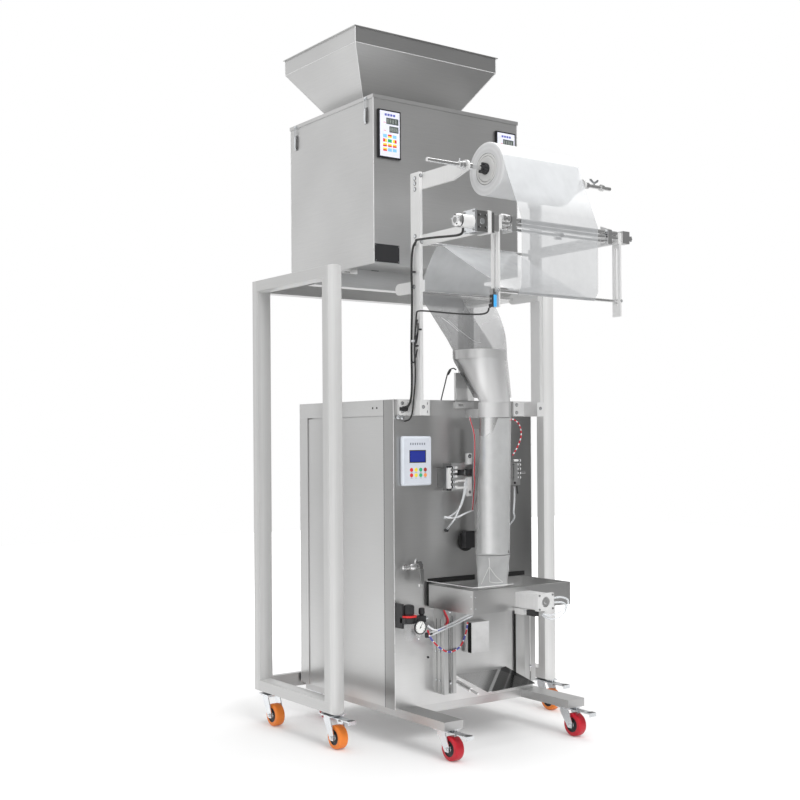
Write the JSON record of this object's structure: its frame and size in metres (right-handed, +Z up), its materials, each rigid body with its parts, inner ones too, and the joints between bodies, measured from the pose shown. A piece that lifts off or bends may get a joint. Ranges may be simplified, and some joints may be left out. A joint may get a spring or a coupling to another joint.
{
  "type": "weighing and filling machine",
  "caption": "Upright weighing and bag filling machine: hopper-fed weigher on a wheeled gantry, over a cabinet with film roll, feed rollers, forming funnel, tube and sealing jaws.",
  "frame": {"origin": "on the floor, under the centre of the machine's bounding box", "axes": "+Z up, -Y towards the side with the film roll and the forming funnel, +X to the right when seen from there"},
  "size_m": [0.962, 1.098, 2.306],
  "materials": {
    "steel": "satin brushed stainless steel",
    "frame_steel": "satin stainless steel",
    "polished_steel": "polished stainless steel",
    "zinc": "bright zinc-plated steel",
    "light_alloy": "clear anodised",
    "orange_tyre": "moulded orange tread on a black core",
    "red_tyre": "moulded red tread on a black core",
    "panel": "membrane panel",
    "white_plastic": "moulded",
    "blue_plastic": "moulded",
    "black_plastic": "moulded",
    "film": "clear polyethylene film",
    "film_roll": "wound clear film",
    "glass": "clear bowl",
    "rubber": "cable sheath"
  },
  "bodies": {
    "machine": {"gantry_portal_left": "frame_steel", "gantry_portal_right": "frame_steel", "gantry_front_beam": "frame_steel", "gantry_rear_beams": "frame_steel", "weigher_feet": "steel", "weigher_body": "steel", "weigher_lid": "steel", "feed_hopper": "steel", "cabinet_body": "steel", "cabinet_cap": "steel", "skid_left": "steel", "skid_right": "steel", "skid_ties": "steel", "jaw_frame": "steel", "jaw_supports": "steel", "front_brackets": "steel", "discharge_chute": "steel", "sealing_bars": "steel", "weigher_panels": "panel", "lid_latches": "zinc", "caster_heads": "zinc", "film_frame_left": "light_alloy", "film_frame_right": "light_alloy", "hangers": "light_alloy", "gear_motor": "light_alloy", "feed_plates": "light_alloy", "jaw_cylinder": "light_alloy", "roll_shaft": "polished_steel", "cross_rods": "polished_steel", "feed_rollers": "polished_steel", "dancer_rod": "polished_steel", "forming_funnel": "polished_steel", "forming_tube": "polished_steel", "air_unit": "black_plastic", "air_bowls": "glass", "motor_cord": "rubber", "eye_cord": "rubber", "film_web": "film", "film_tube": "film", "photo_eye": "blue_plastic", "control_unit": "white_plastic"},
    "fork_orange_front_left": {"caster_fork_orange_front_left": "zinc"},
    "wheel_orange_front_left": {"caster_wheel_orange_front_left": "orange_tyre"},
    "fork_orange_front_right": {"caster_fork_orange_front_right": "zinc"},
    "wheel_orange_front_right": {"caster_wheel_orange_front_right": "orange_tyre"},
    "fork_orange_rear_left": {"caster_fork_orange_rear_left": "zinc"},
    "wheel_orange_rear_left": {"caster_wheel_orange_rear_left": "orange_tyre"},
    "fork_orange_rear_right": {"caster_fork_orange_rear_right": "zinc"},
    "wheel_orange_rear_right": {"caster_wheel_orange_rear_right": "orange_tyre"},
    "fork_red_front_left": {"caster_fork_red_front_left": "zinc"},
    "wheel_red_front_left": {"caster_wheel_red_front_left": "red_tyre"},
    "fork_red_front_right": {"caster_fork_red_front_right": "zinc"},
    "wheel_red_front_right": {"caster_wheel_red_front_right": "red_tyre"},
    "fork_red_rear_left": {"caster_fork_red_rear_left": "zinc"},
    "wheel_red_rear_left": {"caster_wheel_red_rear_left": "red_tyre"},
    "fork_red_rear_right": {"caster_fork_red_rear_right": "zinc"},
    "wheel_red_rear_right": {"caster_wheel_red_rear_right": "red_tyre"},
    "roll": {"film_roll": "film_roll", "core_plugs": "black_plastic"}
  },
  "joints": [
    {"name": "swivel_orange_front_left", "type": "hinge", "parent": "machine", "child": "fork_orange_front_left", "pos_m": [-0.45, 0.043, 0.105], "axis": [0, 0, 1], "continuous": true},
    {"name": "spin_orange_front_left", "type": "hinge", "parent": "fork_orange_front_left", "child": "wheel_orange_front_left", "pos_m": [-0.45, 0.013, 0.0375], "axis": [1, 0, 0], "continuous": true},
    {"name": "swivel_orange_front_right", "type": "hinge", "parent": "machine", "child": "fork_orange_front_right", "pos_m": [0.45, 0.043, 0.105], "axis": [0, 0, 1], "continuous": true},
    {"name": "spin_orange_front_right", "type": "hinge", "parent": "fork_orange_front_right", "child": "wheel_orange_front_right", "pos_m": [0.45, 0.013, 0.0375], "axis": [1, 0, 0], "continuous": true},
    {"name": "swivel_orange_rear_left", "type": "hinge", "parent": "machine", "child": "fork_orange_rear_left", "pos_m": [-0.45, 0.429, 0.105], "axis": [0, 0, 1], "continuous": true},
    {"name": "spin_orange_rear_left", "type": "hinge", "parent": "fork_orange_rear_left", "child": "wheel_orange_rear_left", "pos_m": [-0.45, 0.399, 0.0375], "axis": [1, 0, 0], "continuous": true},
    {"name": "swivel_orange_rear_right", "type": "hinge", "parent": "machine", "child": "fork_orange_rear_right", "pos_m": [0.45, 0.429, 0.105], "axis": [0, 0, 1], "continuous": true},
    {"name": "spin_orange_rear_right", "type": "hinge", "parent": "fork_orange_rear_right", "child": "wheel_orange_rear_right", "pos_m": [0.45, 0.399, 0.0375], "axis": [1, 0, 0], "continuous": true},
    {"name": "swivel_red_front_left", "type": "hinge", "parent": "machine", "child": "fork_red_front_left", "pos_m": [-0.252, -0.283, 0.093], "axis": [0, 0, 1], "continuous": true},
    {"name": "spin_red_front_left", "type": "hinge", "parent": "fork_red_front_left", "child": "wheel_red_front_left", "pos_m": [-0.252, -0.313, 0.0375], "axis": [1, 0, 0], "continuous": true},
    {"name": "swivel_red_front_right", "type": "hinge", "parent": "machine", "child": "fork_red_front_right", "pos_m": [0.252, -0.283, 0.093], "axis": [0, 0, 1], "continuous": true},
    {"name": "spin_red_front_right", "type": "hinge", "parent": "fork_red_front_right", "child": "wheel_red_front_right", "pos_m": [0.252, -0.313, 0.0375], "axis": [1, 0, 0], "continuous": true},
    {"name": "swivel_red_rear_left", "type": "hinge", "parent": "machine", "child": "fork_red_rear_left", "pos_m": [-0.252, 0.413, 0.093], "axis": [0, 0, 1], "continuous": true},
    {"name": "spin_red_rear_left", "type": "hinge", "parent": "fork_red_rear_left", "child": "wheel_red_rear_left", "pos_m": [-0.252, 0.383, 0.0375], "axis": [1, 0, 0], "continuous": true},
    {"name": "swivel_red_rear_right", "type": "hinge", "parent": "machine", "child": "fork_red_rear_right", "pos_m": [0.252, 0.413, 0.093], "axis": [0, 0, 1], "continuous": true},
    {"name": "spin_red_rear_right", "type": "hinge", "parent": "fork_red_rear_right", "child": "wheel_red_rear_right", "pos_m": [0.252, 0.383, 0.0375], "axis": [1, 0, 0], "continuous": true},
    {"name": "roll_spin", "type": "hinge", "parent": "machine", "child": "roll", "pos_m": [0, -0.377, 1.77], "axis": [1, 0, 0], "continuous": true}
  ]
}
